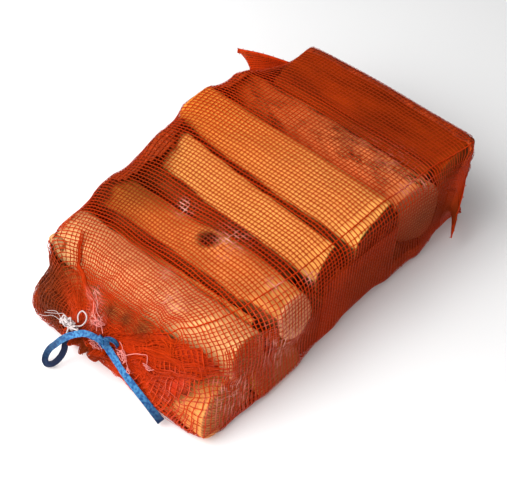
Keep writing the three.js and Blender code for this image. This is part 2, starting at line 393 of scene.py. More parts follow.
def makeTape(spec):
    corners = spec["loop"] + spec["tail"]
    path = smoothPath(corners, spec["perSpan"])
    facing = [spec["loopFacing"]] * len(spec["loop"]) + [spec["tailFacing"]] * len(spec["tail"])
    facing = smoothPath(facing, spec["perSpan"])
    along = unit(np.gradient(path, axis=0))
    lie = unit(facing - along * (facing * along).sum(1, keepdims=True))
    place = np.arange(len(path)) / spec["perSpan"]
    turn = [noise.fractal((at * spec["twistRate"], 4.0, 0.5), 0.8, 2.0, 3) for at in place]
    turn = np.array(turn)[:, None] * spec["twist"]
    lie = lie * np.cos(turn) + np.cross(along, lie) * np.sin(turn)
    fat, tapeShade = (np.interp(place, *zip(*spec[name])) for name in ("fats", "tapeShades"))
    attributes = [("lie", "FLOAT_VECTOR", lie), ("fat", "FLOAT", fat), ("tapeShade", "FLOAT", tapeShade),
                  ("middle", "FLOAT_VECTOR", path * mm), ("edge", "FLOAT_VECTOR", np.cross(along, lie))]
    piece = addMesh("tape", path, chain(len(path)), attributes=attributes)
    sweep(piece, spec["width"], spec["thickness"], spec["sides"], tapeMaterial, spec["fullness"],
          spec["cup"])
    enrol(piece, "tape", "tape_loop", "tape_tail")
    [v * mm for v in corners[0]]
    spec["width"] * mm
    over = place >= spec["overFrom"]
    return path[over], lie[over]


tapeOver, tapeLie = makeTape(tapeSpec)


# the knot's tape carries an even painted shade
knotSpec = dict(centre=(14, -232, 64), size=(3.8, 2.8, 4.2), steps=120, width=5.5, thickness=1.3, sides=12,
                fullness=1.3, cup=0.6, tapeShade=0.4, pulled=1.6, perSpan=8, stubFacing=(2, -3, 6),
                stub=[(14, -230, 66), (18, -227, 67), (22, -225, 66), (25, -224, 63), (27, -224, 59)])


def makeKnot(spec):  # a trefoil pulled tight, with the short end standing out of it
    turn = np.linspace(0, 2 * np.pi, spec["steps"], endpoint=False)
    path = np.stack([np.sin(turn) + 2 * np.sin(2 * turn), -np.sin(3 * turn),
                     np.cos(turn) - 2 * np.cos(2 * turn)], 1)
    path = path / spec["pulled"] * np.array(spec["size"]) + np.array(spec["centre"])
    stub = smoothPath(spec["stub"], spec["perSpan"])
    edges = chain(len(path), closed=True) + chain(len(stub), len(path))
    lie = unit(np.vstack([path, stub + spec["stubFacing"]]) - np.array(spec["centre"]))
    path = np.vstack([path, stub])
    attributes = [("lie", "FLOAT_VECTOR", lie), ("fat", "FLOAT", np.ones(len(path))),
                  ("tapeShade", "FLOAT", np.full(len(path), spec["tapeShade"])),
                  ("middle", "FLOAT_VECTOR", path * mm),
                  ("edge", "FLOAT_VECTOR", np.cross(lie, np.roll(lie, 1, 0)))]
    piece = addMesh("tape_knot_wrap", path, edges, attributes=attributes)
    sweep(piece, spec["width"], spec["thickness"], spec["sides"], tapeMaterial, spec["fullness"],
          spec["cup"])
    enrol(piece, "tape", "tape_knot")


makeKnot(knotSpec)


# painted shade: the dark default end tint stands for the shade on the right-hand ends, which face away from
# the key light
logStyle = dict(stations=50, around=80, waveHeight=1.2, bevel=1.8, fibreHeight=0.45, barkHeight=1.7,
                barkTint=(92, 60, 34), endTint=(96, 48, 24), leftShadeTint=(92, 40, 16), patchy=0.1, speck=0.12,
                widest=140.0, halvings=26, dentDepth=5.0, caps=(0.965, 0.8, 0.55, 0.3, 0.08), rimStep=0.3,
                barkFray=0.22, barkEdge=0.06, spanFray=14, spanEdge=8, leftShadeFray=8, leftShadeEdge=5,
                waveRate=(0.012, 0.03), edgeScale=(0.02, 2), fibreScale=(0.012, 0.21, 0.21),
                barkScale=(0.05, 0.11, 0.11), patchScale=(0.012, 0.05, 0.05), noiseStep=17.0, grainStep=400,
                knotOval=(1, 0.75), knotEdge=(1.1, 3), fade=1.4)
pale = (255, 190, 100)
orange = (232, 140, 62)
brown = (190, 100, 48)

# section corners are (y, z), counter-clockwise seen from the right; ends are along x; turn is a yaw and
# tilt a pitch in degrees; skew, lean and slant slope the ends; flare widens the section to the right;
# bark and barkLow are the angles that bark covers; a name with Left is the shade at the left end;
# the darkened left ends of the second and third logs and the second log's darker left tint are painted
# shade, the light end tints of the front logs painted light and the dark default end tint painted shade
logSpecs = [
    dict(ends=(-122, 144), turn=1.6, tilt=-1.5, skew=0.12, lean=0.25, flare=-0.06, soft=5.5, seed=1,
         tint=(255, 203, 138), bark=(-40, 30), barkLow=(208, 268), barkTint=(196, 128, 68),
         pith=(-30, -40), endTint=(214, 136, 84),
         corners=[(-151, 45), (-120, 63), (-119, 88), (-131, 96), (-159, 100), (-179, 88), (-185, 61)]),
    dict(ends=(-131, 151), turn=0.5, lean=0.3, soft=5.0, seed=2, leftShadeTo=-112, patchy=0.35,
         tint=(240, 164, 88), tintLeft=(190, 108, 36), bark=(165, 215), barkTint=(120, 66, 32),
         pith=(20, -60), endTint=(255, 184, 132),
         corners=[(-85, 50), (-52, 66), (-56, 96), (-66, 105), (-94, 105), (-105, 97), (-109, 66)],
         knots=[dict(at=(24, -79, 107), dent=14, bulge=24, height=5),
                dict(at=(62, -58, 102), dent=0, bulge=58, height=6)]),
    dict(ends=(-136, 143), turn=-4.2, lean=0.25, flare=-0.11, soft=3.5, seed=3, leftShadeTo=-106, tint=pale,
         bark=(175, 245), pith=(40, -30),
         corners=[(-8, 52), (21, 66), (21, 106), (15, 116), (-24, 93), (-28, 70)]),
    dict(ends=(-144, 150), turn=-3.6, skew=0.05, slant=0.17, flare=0.125, soft=3.5, seed=4, tint=pale,
         tintLeft=(238, 142, 54), bark=(165, 262), pith=(-20, -70),
         corners=[(62, 52), (103, 66), (104, 112), (96, 122), (40, 119), (32, 113), (31, 64)]),
    dict(ends=(-131, 153), turn=-1.8, slant=-0.5, soft=6.0, seed=5, tint=brown, bark=(8, 172),
         barkTint=(250, 150, 86), barkTintLeft=(186, 74, 10), speck=0.8, patchy=0.3, pith=(0, -4),
         endTint=(190, 110, 74),
         corners=[(122, 24), (156, 24), (168, 52), (169, 92), (168, 113), (160, 121), (144, 121),
                  (128, 116), (116, 105), (111, 88), (111, 52)]),
    dict(ends=(-95, 157), turn=-0.5, soft=2.5, seed=6, tint=(150, 50, 7), patchy=0.6, bark=(250, 290),
         pith=(10, -90), endTint=(150, 70, 26),
         corners=[(171, 60), (240, 62), (242, 122), (238, 127), (177, 122), (170, 114)]),
    # sticks and offcuts in the gaps; the first two are tinted dark, painted shade for the deep gaps they
    # fill
    dict(ends=(-136, 110), turn=-2.5, tilt=-5.0, soft=3.0, seed=13, tint=(124, 64, 28), bark=(0, 200),
         barkTint=(124, 66, 30), corners=[(-46, 56), (-22, 56), (-18, 76), (-28, 84), (-48, 80)]),
    dict(ends=(-136, 146), soft=2.5, seed=14, tint=(70, 32, 14), bark=(0, 200), barkTint=(70, 34, 16),
         corners=[(104, 62), (112, 62), (112, 86), (108, 92), (104, 86)]),
    dict(ends=(-95, 146), turn=-1.2, soft=2.5, seed=17, tint=(150, 58, 14),
         corners=[(161, 98), (177, 98), (176, 116), (169, 120), (162, 117)]),
    dict(ends=(-132, 128), turn=2.0, tilt=2.4, soft=2.5, seed=15, tint=(228, 154, 80),
         tintLeft=(146, 82, 34), corners=[(-126, 58), (-112, 58), (-112, 70), (-116, 82), (-125, 84)]),
    dict(ends=(-121, -100), soft=2.5, seed=16, tint=(196, 152, 104), endTint=(192, 130, 80),
         corners=[(-187, 80), (-176, 80), (-174, 92), (-185, 94)]),
    # the lower layer
    dict(ends=(-112, 148), turn=1, lean=0.2, soft=3.5, seed=7, tint=(246, 166, 96), bark=(120, 215),
         barkSpan=(-300, 92), barkTint=(120, 58, 30), pith=(20, 30), endTint=(214, 132, 80),
         corners=[(-221, 3), (-151, 3), (-152, 46), (-176, 56), (-206, 54), (-224, 38), (-230, 13)]),
    dict(ends=(-122, 154), lean=0.25, soft=4.0, seed=8, tint=orange, endTint=(196, 118, 72), bark=(60, 120),
         pith=(-10, 40), corners=[(-147, 3), (-76, 3), (-80, 42), (-100, 48), (-118, 55), (-147, 40)]),
    dict(ends=(-126, 155), turn=-1, soft=4.0, seed=9, tint=brown, bark=(40, 140), pith=(0, 10),
         corners=[(-73, 3), (-4, 3), (-5, 40), (-18, 50), (-40, 62), (-60, 62), (-73, 46)]),
    dict(ends=(-130, 152), turn=1, soft=4.0, seed=10, tint=orange, bark=(70, 150), pith=(30, 10),
         corners=[(-2, 3), (70, 3), (70, 46), (50, 50), (22, 60), (8, 58), (-1, 46)]),
    dict(ends=(-120, 158), turn=-1, soft=4.0, seed=11, tint=brown, bark=(30, 120), pith=(0, 20),
         corners=[(73, 3), (106, 3), (110, 22), (107, 50), (98, 62), (73, 50)]),
    dict(ends=(-93, 150), soft=3.0, seed=12, tint=orange, bark=(-30, 30), pith=(0, 40),
         corners=[(128, 3), (238, 3), (238, 54), (174, 57), (162, 24), (132, 20)]),
]


def softMax(values, soft):  # the rounded maximum of each row, and each column's share in it
    scaled = values / soft
    top = scaled.max(1, keepdims=True)
    share = np.exp(scaled - top)
    total = share.sum(1, keepdims=True)
    return ((np.log(total) + top) * soft)[:, 0], share / total


class FireLog:  # a split log: a soft maximum of flat faces, for its mesh and for the net that lies on it
    def __init__(self, spec):
        corners = np.array(spec["corners"], float)
        middle = corners.mean(0)
        run = np.roll(corners, -1, 0) - corners
        self.faces = unit(np.stack([run[:, 1], -run[:, 0]], 1))
        self.reach = ((corners - middle) * self.faces).sum(1)
        self.spec = spec
        self.half = (spec["ends"][1] - spec["ends"][0]) / 2
        self.centre = np.array([sum(spec["ends"]) / 2, *middle])
        self.flare = spec.get("flare", 0) / self.half
        self.skew, self.lean, self.slant = (spec.get(name, 0) for name in ("skew", "lean", "slant"))
        turn, tilt = (math.radians(spec.get(name, 0)) for name in ("turn", "tilt"))
        along = np.array([math.cos(turn) * math.cos(tilt), math.sin(turn) * math.cos(tilt), math.sin(tilt)])
        across = np.array([-math.sin(turn), math.cos(turn), 0])
        self.axes = np.array([along, across, np.cross(along, across)])
        chance = np.random.default_rng(spec["seed"])
        self.phase = chance.uniform(0, 2 * np.pi, len(corners))
        self.wave = chance.uniform(*logStyle["waveRate"], len(corners))
        self.knots = [dict(knot, local=self.axes @ (np.array(knot["at"]) - self.centre))
                      for knot in spec.get("knots", [])]

    def reachAt(self, along):
        swing = np.sin(along[..., None] * self.wave + self.phase)
        return self.reach + logStyle["waveHeight"] * swing

    def lumps(self, local):
        total = np.zeros(local.shape[:-1])
        for knot in self.knots:
            away = np.linalg.norm(local - knot["local"], axis=-1)
            total += knot["height"] * np.exp(-(away / knot["bulge"]) ** 2)
        return total

    def field(self, points):  # distance outside the log and the way out, for each point
        local = (points - self.centre) @ self.axes.T
        local[:, 1] /= 1 + self.flare * local[:, 0]
        sides = local[:, 1:] @ self.faces.T - self.reachAt(local[:, 0])
        sides -= self.lumps(local)[:, None]
        leftEnd = -local[:, 0] - self.half - self.skew * local[:, 1]
        rightEnd = local[:, 0] - self.half + self.lean * local[:, 2]
        rightEnd += self.slant * local[:, 1]
        ends = np.stack([rightEnd, leftEnd], 1)
        side, share = softMax(sides, self.spec["soft"])
        value, pick = softMax(np.column_stack([side, ends]), logStyle["bevel"])
        out = np.column_stack([pick[:, 1] - pick[:, 2], pick[:, :1] * (share @ self.faces)])
        return value, unit(out @ self.axes)

    def outline(self, along, ways):  # how far out the side is at each station and way, found by halving
        reach = self.reachAt(along)[:, None, :]
        lean = (ways @ self.faces.T)[None]
        near = np.zeros((len(along), len(ways)))
        far = np.full(near.shape, logStyle["widest"])
        for _ in range(logStyle["halvings"]):
            middle = (near + far) / 2
            value = np.exp((middle[..., None] * lean - reach) / self.spec["soft"]).sum(-1)
            near, far = np.where(value < 1, middle, near), np.where(value < 1, far, middle)
        return (near + far) / 2

    def barkCover(self, reachX, angle, edge):  # 1 where bark is left on, ragged at its borders
        bark = np.zeros(edge.shape)
        for band in ("bark", "barkLow"):
            if band not in self.spec:
                continue
            low, high = (math.radians(v) for v in self.spec[band])
            offset = (angle - (low + high) / 2 + np.pi) % (2 * np.pi) - np.pi
            inside = (high - low) / 2 - np.abs(offset) + edge * logStyle["barkFray"]
            bark = np.maximum(bark, np.clip(inside / logStyle["barkEdge"] + 0.5, 0, 1))
        first, last = self.spec.get("barkSpan", (-300, 300))
        stray, soften = edge * logStyle["spanFray"], logStyle["spanEdge"]
        return (bark * (np.clip((reachX + stray - first) / soften, 0, 1)
                        * np.clip((last - reachX - stray) / soften, 0, 1)))

    def ownNoise(self, place, scales, hardness, octaves):  # every log reads its own stretch of the noise
        x, y, z = (value * scale for value, scale in zip(place, scales))
        return noise.fractal((x + self.spec["seed"] * logStyle["noiseStep"], y, z), hardness, 2.0, octaves)

    def roughen(self, local, bark):  # the height of fibres and bark over the smooth side
        height = np.zeros(bark.shape)
        for i, j in np.ndindex(*bark.shape):
            fine = self.ownNoise(local[i, j], logStyle["fibreScale"], 0.8, 4)
            rough = self.ownNoise(local[i, j], logStyle["barkScale"], 0.7, 4)
            height[i, j] = (fine * logStyle["fibreHeight"] * (1 - bark[i, j])
                            + rough * logStyle["barkHeight"] * bark[i, j])
        return height + self.lumps(local)

    def knotHoles(self, local, ways):  # how deep the hollow of each dead knot is, and its dark mark
        dent, mark = np.zeros(local.shape[:2]), np.zeros(local.shape[:2])
        rim, steepness = logStyle["knotEdge"]
        for knot in self.knots:
            if knot["dent"]:
                away = (local - knot["local"])[..., :2] / logStyle["knotOval"]
                away = np.hypot(*away.transpose(2, 0, 1)) / knot["dent"]
                dent += logStyle["dentDepth"] * np.exp(-away ** 2) * (ways[:, 1] > 0)
                mark = np.maximum(mark, np.clip((rim - away) * steepness, 0, 1) * (ways[:, 1] > 0))
        return dent, mark

    def shadesAlong(self, name, blend):  # a colour, or its own shade at the left end running into it
        colour = self.spec.get(name, logStyle.get(name))
        left = self.spec.get(name + "Left", colour)
        return np.array(srgb(*left)) * (1 - blend) + np.array(srgb(*colour)) * blend

    def build(self):
        style = logStyle
        count = style["around"]
        along = np.linspace(-self.half + style["bevel"], self.half - style["bevel"], style["stations"])
        rows = len(along)
        angle = np.linspace(0, 2 * np.pi, count, endpoint=False)
        ways = np.stack([np.cos(angle), np.sin(angle)], 1)
        radius = self.outline(along, ways)
        local = np.concatenate([np.broadcast_to(along[:, None, None], (rows, count, 1)),
                                radius[..., None] * ways], 2)
        step, turnStep = style["edgeScale"]
        edge = np.array([[noise.noise((x * step, a * turnStep, self.spec["seed"])) for a in angle]
                         for x in along])
        reachX = along[:, None] + self.centre[0]
        bark = self.barkCover(reachX, angle, edge)
        # painted shade: the log is tinted dark from its left end up to the given x, for the shadow over the
        # left flank
        leftShadeTo = self.spec.get("leftShadeTo", -300)
        leftShade = np.clip((leftShadeTo - reachX + edge * style["leftShadeFray"]) / style["leftShadeEdge"], 0, 1)
        dent, knotMark = self.knotHoles(local, ways)
        relief = self.roughen(local, bark) - dent
        local[..., 1:] += relief[..., None] * ways
        local[..., 1] *= 1 + self.flare * local[..., 0]
        local[..., 0] -= self.skew * local[..., 1] * np.clip(-along / self.half, 0, 1)[:, None]
        slope = self.lean * local[..., 2] + self.slant * local[..., 1]
        local[..., 0] -= slope * np.clip(along / self.half, 0, 1)[:, None] ** 3
        rings = [local]
        for end, sign in ((0, -1), (-1, 1)):
            for number, shrink in enumerate(style["caps"]):
                cap = local[end] * shrink + local[end].mean(0) * (1 - shrink) * np.array([1, 0, 0])
                cap[:, 0] += sign * (style["bevel"] - (0 if number else style["rimStep"]))
                rings.append(cap[None])
        points = np.concatenate(rings).reshape(-1, 3)
        caps = len(style["caps"])
        order = [*range(rows + caps - 1, rows - 1, -1), *range(rows), *range(rows + caps, rows + 2 * caps)]
        faces = []
        for a, b in zip(order, order[1:]):
            for j in range(count):
                k = (j + 1) % count
                faces.append((b * count + j, b * count + k, a * count + k, a * count + j))
        faces.append(tuple(order[0] * count + j for j in range(count)))
        faces.append(tuple(order[-1] * count + j for j in reversed(range(count))))
        return points @ self.axes + self.centre, faces, self.finish(points, bark, leftShade, knotMark)

    def finish(self, points, bark, leftShade, knotMark):  # what the wood's material reads at each point
        caps, count = len(logStyle["caps"]), logStyle["around"]
        blank = np.zeros((2 * caps, count))
        capShade = blank.copy()
        capShade[:caps] = leftShade.max()  # the caps of a shaded end stay dark, painted shade like the end
        shade = np.concatenate([leftShade, capShade]).reshape(-1, 1)
        grain = points.copy()
        grain[:, 1:] -= np.array(self.spec.get("pith", (0, 0)), float)
        grain[:, 0] += self.spec["seed"] * logStyle["grainStep"]
        blend = np.clip((points[:, :1] + self.half) / (logStyle["fade"] * self.half), 0, 1)
        names = ("tint", "barkTint", "endTint")
        tint, barkTint, endTint = (self.shadesAlong(name, blend) for name in names)
        # painted shade mixed into the tint towards the left end
        tint = tint * (1 - shade) + np.array(srgb(*logStyle["leftShadeTint"])) * shade
        patches = [self.ownNoise(point, logStyle["patchScale"], 0.7, 3) for point in points]
        patchy, speck = (self.spec.get(name, logStyle[name]) for name in ("patchy", "speck"))
        patches = 1 + patchy * np.clip(patches, -1, 1)[:, None]
        return [
            ("grain", "FLOAT_VECTOR", grain * mm),
            ("bark", "FLOAT", np.concatenate([bark, blank])),
            ("sawn", "FLOAT", np.concatenate([np.zeros(bark.shape), blank + 1])),
            ("knot", "FLOAT", np.concatenate([knotMark, blank])),
            ("speck", "FLOAT", speck * blend),
            ("tint", "FLOAT_COLOR", tint * patches),
            ("barkTint", "FLOAT_COLOR", barkTint * patches),
            ("endTint", "FLOAT_COLOR", endTint),
        ]


def makeLogs(logs):
    points, faces, layers = [], [], []
    count = 0
    for log in logs:
        made, sides, attributes = log.build()
        faces += [tuple(count + corner for corner in side) for side in sides]
        count += len(made)
        points.append(made)
        layers.append([(label, kind, np.asarray(values).reshape(len(made), -1))
                       for label, kind, values in attributes])
    attributes = [(same[0][0], same[0][1], np.concatenate([values for _, _, values in same]))
                  for same in zip(*layers)]
    points = np.concatenate(points)
    piece = addMesh("firewood", points, faces=faces, attributes=attributes, material=woodMaterial)
    enrol(piece, "wood")


logs = [FireLog(spec) for spec in logSpecs]
makeLogs(logs)
print(f"{len(logs)} logs split")


# the net is a grid of crossings: columns are warps from the mouth to the seam, rows are wefts round the
# bag; glints are painted highlights and worn white yarn, the shade patches painted shade, each a place,
# a size and a strength
netSpec = dict(
    around=152, ruffleRows=5, gatherRows=20, bodyRows=88, backRows=14, scanSteps=121, scanFrom=5,
    coreLine=[(-228, 25), (-190, 62)], sideAngle=24, frontSide=-197, frontLean=21, backSide=235,
    earPull=(68, 18), neck=(-11, -222, 51), neckHalf=(19, 8), ruffle=(-14, -240, 42), ruffleHalf=(23, 13),
    ruffleFolds=[(0.22, 7, 0.6), (0.12, 13, 0)], ruffleWave=(4.0, 9, 1),
    seam=[(-191, 203, 88), (-150, 222, 86), (-92, 241, 78), (0, 243.5, 72), (100, 243.5, 74),
          (146, 238, 92), (170, 206, 72), (181, 180, 46), (186, 169, 26)],
    settle=240, ringPull=0.16, runPull=0.76, clearance=1.6, floorGap=0.9, logReach=62,
    topSag=15.0, sideSag=1.5, backSag=60, edgeSag=(8, 45), facingUp=0.2,
    pleats=2.6, pleatDepth=3.5, pleatTail=8, pleatSwell=(1.15, 2.2), pleatDrift=0.07, pleatBias=0.3,
    waver=0.9, waverScale=0.022, waverAside=1.6, waverAlong=2.2, jitter=0.16, resettle=0.8,
    frontWaver=2.4, frontEnd=(16, 8), frontScale=1.7, gatherWaver=3.4, gatherEnd=(6, 12), gatherScale=3.4,
    gatherRight=[(0, 1), (60, 1.6)], seamSteps=10, weftWidth=1.5, weftThickness=0.5, weftSides=6,
    warpWidth=0.72, warpThickness=0.5, warpSides=4, pairSide=0.36, pairRise=0.48,
    selvages=[(126, -70, 106)], selvageFat=1.9, thinFrom=166, thinOver=8, thinAbove=100, thinBy=0.35,
    wearGlintScatter=(1.8, 0.8), wearGlintMost=0.85, shadeMost=0.9,
    # glints: painted highlights on the yarn, with some worn white spots
    glints=[(-27, -63, 106, 9, 1.1), (-36, -58, 105, 6, 1.1), (46, -65, 107, 14, 1.3),
            (50, -80, 104, 9, 1.3), (44, -159, 92, 9, 1), (60, -160, 92, 7, 1), (120, -77, 105, 7, 1),
            (140, -43, 108, 7, 1), (20, -140, 95, 7, 1), (109, -165, 70, 9, 1), (152, -100, 60, 30, 0.7),
            (146, -180, 40, 26, 0.7), (110, 140, 121, 24, 0.2), (60, 140, 121, 20, 0.1),
            (138, 105, 105, 8, 0.5), (142, 116, 114, 8, 0.5), (148, 127, 119, 8, 0.5),
            (157, 142, 122, 8, 0.5), (165, 151, 122, 7, 0.5), (-34, -200, 78, 7, 1), (-22, -206, 73, 6, 1),
            (-14, -217, 66, 9, 1), (106, -224, 48, 22, 0.15)],
    # painted shade: patches where the yarn is darkened for shadow in grooves, gaps, the ruffle and the
    # flanks
    shadePatches=[(-90, -80, 103, 36, 0.6), (-60, 205, 125, 50, 0.3), (30, 205, 125, 50, 0.3),
           (110, 205, 125, 50, 0.3), (162, 30, 40, 50, 0.35), (162, 100, 40, 50, 0.35),
           (162, 140, 76, 34, 0.6), (40, 140, 121, 32, 0.35), (110, 140, 119, 32, 0.2),
           (182, 183, 52, 24, 0.8), (-98, -200, 66, 30, 0.5), (-80, -222, 46, 28, 0.4),
           (-12, -240, 38, 24, 0.9), (152, -70, 70, 30, 0.1), (-111, -14, 113, 24, 0.4),
           (-135, -30, 90, 45, 0.15), (-135, 40, 80, 45, 0.15), (-125, -110, 60, 50, 0.2),
           (-112, -205, 45, 42, 0.5), (-70, -228, 30, 26, 0.6), (24, -79, 107, 12, 1),
           (-4, -202, 73, 8, 0.9), (16, -200, 75, 9, 0.9), (39, -197, 74, 10, 0.9)],
)


def resample(points, count):  # evenly spaced along a polyline, both ends kept
    gone = np.concatenate([[0], np.cumsum(np.linalg.norm(np.diff(points, axis=0), axis=1))])
    want = np.linspace(0, gone[-1], count)
    return np.stack([np.interp(want, gone, points[:, k]) for k in range(3)], 1)


def bodyRings(spec, tree):  # rings of points scanned off the sack's outline
    half, steps = spec["around"] // 2, spec["scanSteps"]
    angles = np.radians(np.concatenate([np.linspace(180, 0, steps), np.linspace(0, -180, steps)]))
    rise = np.clip(np.degrees(np.arcsin(np.sin(angles))) / spec["sideAngle"], -1, 1)
    frontY = spec["frontSide"] + spec["frontLean"] * np.sin(rise * np.pi / 2)
    slant = np.cos(rise * np.pi / 2) ** 2
    backY = spec["backSide"] - slant * np.where(np.cos(angles) < 0, *spec["earPull"])
    rows = []
    for v in np.linspace(0, 1, spec["bodyRows"]):
        ring = []
        for angle, y in zip(angles, frontY + (backY - frontY) * v):
            start = Vector((spec["scanFrom"], y, np.interp(y, *zip(*spec["coreLine"])))) * mm
            hit = tree.ray_cast(start, Vector((math.cos(angle), 0, math.sin(angle))))[0]
            ring.append(hit / mm if hit else start / mm)
        ring = np.array(ring)
        top, low = resample(ring[:steps], half + 1), resample(ring[steps:], half + 1)
        rows.append(np.concatenate([top[:-1], low[:-1]]))
    return np.array(rows)


def ruffleRings(spec, turn, around):
    rows = []
    depth, folds, shift = spec["ruffleWave"]
    for k in range(spec["ruffleRows"], 0, -1):
        out = k / spec["ruffleRows"]
        centre = np.array(spec["neck"]) * (1 - out) + np.array(spec["ruffle"]) * out
        size = np.array(spec["neckHalf"]) * (1 - out) + np.array(spec["ruffleHalf"]) * out
        wave = 1
        for height, count, start in spec["ruffleFolds"]:
            wave = wave + height * out * np.sin(turn * count + start)
        ring = centre + around * np.array([size[0], 0, size[1]]) * wave[:, None]
        ring[:, 1] += depth * out * np.sin(turn * folds + shift)
        rows.append(ring)
    return np.array(rows)


def netGrid(spec):
    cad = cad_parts["net_bag"].data
    tree = BVHTree.FromPolygons([v.co.copy() for v in cad.vertices],
                                [tuple(p.vertices) for p in cad.polygons])
    body = bodyRings(spec, tree)
    turn = np.pi - 2 * np.pi * np.arange(spec["around"]) / spec["around"]
    around = np.stack([np.cos(turn), np.zeros_like(turn), np.sin(turn)], 1)
    neck = np.array(spec["neck"]) + around * np.array([spec["neckHalf"][0], 0, spec["neckHalf"][1]])
    part = np.linspace(0, 1, spec["gatherRows"] + 1)[:-1, None, None]
    gather = neck * (1 - part) + body[0] * part
    for row in range(1, spec["gatherRows"]):
        gather[row] = [tree.find_nearest(Vector(point) * mm)[0] / mm for point in gather[row]]
    seam = resample(smoothPath(spec["seam"], spec["seamSteps"]), spec["around"] // 2 + 1)
    seam = np.concatenate([seam[:-1], seam[:0:-1]])
    part = np.linspace(0, 1, spec["backRows"] + 1)[1:, None, None]
    back = body[-1] * (1 - part) + seam * part
    return np.concatenate([ruffleRings(spec, turn, around), gather, body, back])


def netNormals(grid):
    ring = np.roll(grid, -1, 1) - np.roll(grid, 1, 1)
    run = np.gradient(grid, axis=0)
    return unit(np.cross(ring, run))


def clearLogs(grid, clearance, fixed):
    points = grid[fixed:-1].reshape(-1, 3)
    for log in logs:
        near = np.abs(points - log.centre)[:, 1] < netSpec["logReach"]
        value, out = log.field(points[near])
        points[near] += np.clip(clearance - value, 0, None)[:, None] * out
    points[:, 2] = np.maximum(points[:, 2], netSpec["floorGap"])
    return np.concatenate([grid[:fixed], points.reshape(-1, grid.shape[1], 3), grid[-1:]])


def settleNet(start, spec):  # pulls the net tight over the logs, no further in than the sags allow
    fixed = spec["ruffleRows"] + 1
    out = netNormals(start)
    across = start[..., 0]
    inside = np.minimum(across - across.min(1, keepdims=True), across.max(1, keepdims=True) - across)
    first, last = spec["edgeSag"]
    part = np.clip((inside - first) / (last - first), 0, 1) * (out[..., 2] > spec["facingUp"])
    limit = spec["sideSag"] + (spec["topSag"] - spec["sideSag"]) * part ** 2 * (3 - 2 * part)
    limit[-spec["backRows"]:] = spec["backSag"]
    grid = start
    for _ in range(spec["settle"]):
        ring = (np.roll(grid, 1, 1) + np.roll(grid, -1, 1)) / 2 - grid
        run = np.zeros(grid.shape)
        run[1:-1] = (grid[2:] + grid[:-2]) / 2 - grid[1:-1]
        move = spec["ringPull"] * ring + spec["runPull"] * run
        move[:fixed] = 0
        move[-1] = 0
        grid = grid + move
        sunk = ((grid - start) * out).sum(-1)
        grid = grid + out * np.clip(-limit - sunk, 0, None)[..., None]
        grid = clearLogs(grid, spec["clearance"], fixed)
    return grid


def pleatNet(grid, spec, first, last):  # pleats that run out of the neck
    out = netNormals(grid)
    turn = 2 * np.pi * np.arange(grid.shape[1]) / grid.shape[1]
    ways = np.stack([np.cos(turn), np.sin(turn)], 1) * spec["pleats"]
    end = last + spec["pleatTail"]
    peak, swell = spec["pleatSwell"]
    for row in range(first, end):
        part = (end - row) / (end - first)
        depth = spec["pleatDepth"] * part * (peak - part) * swell
        fold = np.array([noise.fractal((c, s, row * spec["pleatDrift"]), 0.6, 2.0, 3) for c, s in ways])
        grid[row] += out[row] * (depth * (spec["pleatBias"] + fold))[:, None]


def ruckNet(grid, spec):  # pleats towards the neck, wandering threads
    rows, around = grid.shape[:2]
    first, last = spec["ruffleRows"], spec["ruffleRows"] + spec["gatherRows"]
    pleatNet(grid, spec, first, last)
    ring = unit(np.roll(grid, -1, 1) - np.roll(grid, 1, 1))
    run = unit(np.gradient(grid, axis=0))
    shift = np.zeros((rows, around, 2))

    def fading(name, row):  # a waver that dies out over some rows past the gathers
        past, over = spec[name + "End"]
        return spec[name + "Waver"] * np.clip((last + past - row) / over, 0, 1)

    for i in range(rows):
        crush, billow = fading("gather", i), fading("front", i)
        for j in range(around):
            place = grid[i, j] * spec["waverScale"]
            x, y, z = place
            shift[i, j, 0] = noise.noise((x, y, z + 9)) * spec["waver"] * spec["waverAside"]
            shift[i, j, 1] = noise.noise((x + 31, y, z)) * spec["waver"] * spec["waverAlong"]
            if billow:
                shift[i, j] += noise.noise_vector(place * spec["frontScale"] + (0, 0, 7)).xy * billow
            if crush:
                crumple = crush * np.interp(grid[i, j, 0], *zip(*spec["gatherRight"]))
                shift[i, j] += noise.noise_vector(place * spec["gatherScale"] + (0, 0, 5)).xy * crumple
    shift += rng.normal(0, spec["jitter"], shift.shape)
    shift[-1] = 0
    grid = grid + ring * shift[..., :1] + run * shift[..., 1:]
    return clearLogs(grid, spec["clearance"] * spec["resettle"], spec["ruffleRows"] + 1)


def tuckRuffle(grid, rows, spec):  # keeps the mouth's ruffle under the tape that crosses it
    points = grid[:rows].reshape(-1, 3)
    away = points[:, None] - tapeOver
    near = np.linalg.norm(away, axis=2).argmin(1)
    away, lie = away[np.arange(len(points)), near], tapeLie[near]
    rise = (away * lie).sum(1, keepdims=True)
    aside = np.linalg.norm(away - rise * lie, axis=1, keepdims=True)
    inner, outer = spec["tuckReach"]
    part = np.clip((outer - aside) / (outer - inner), 0, 1)
    grid[:rows] = (points - lie * np.clip(rise + spec["tuck"], 0, None) * part).reshape(rows, -1, 3)
    return grid


grid = settleNet(netGrid(netSpec), netSpec)
print("net settled", grid.shape)
grid = ruckNet(grid, netSpec)
grid = tuckRuffle(grid, netSpec["ruffleRows"] + 1, tapeSpec)


def blobs(points, marks):
    total = np.zeros(len(points))
    for x, y, z, size, strength in marks:
        total += strength * np.exp(-(np.linalg.norm(points - np.array([x, y, z]), axis=1) / size) ** 2)
    return total


def wearAndGlints(points):  # whitened yarn: worn white where the net rubs, and painted highlights where it glints
    chance = rng.random(len(points))
    patchiness, bare = netSpec["wearGlintScatter"]
    wornAndGlinting = blobs(points, netSpec["glints"]) * (chance * patchiness - bare)
    return np.clip(wornAndGlinting, 0, netSpec["wearGlintMost"])


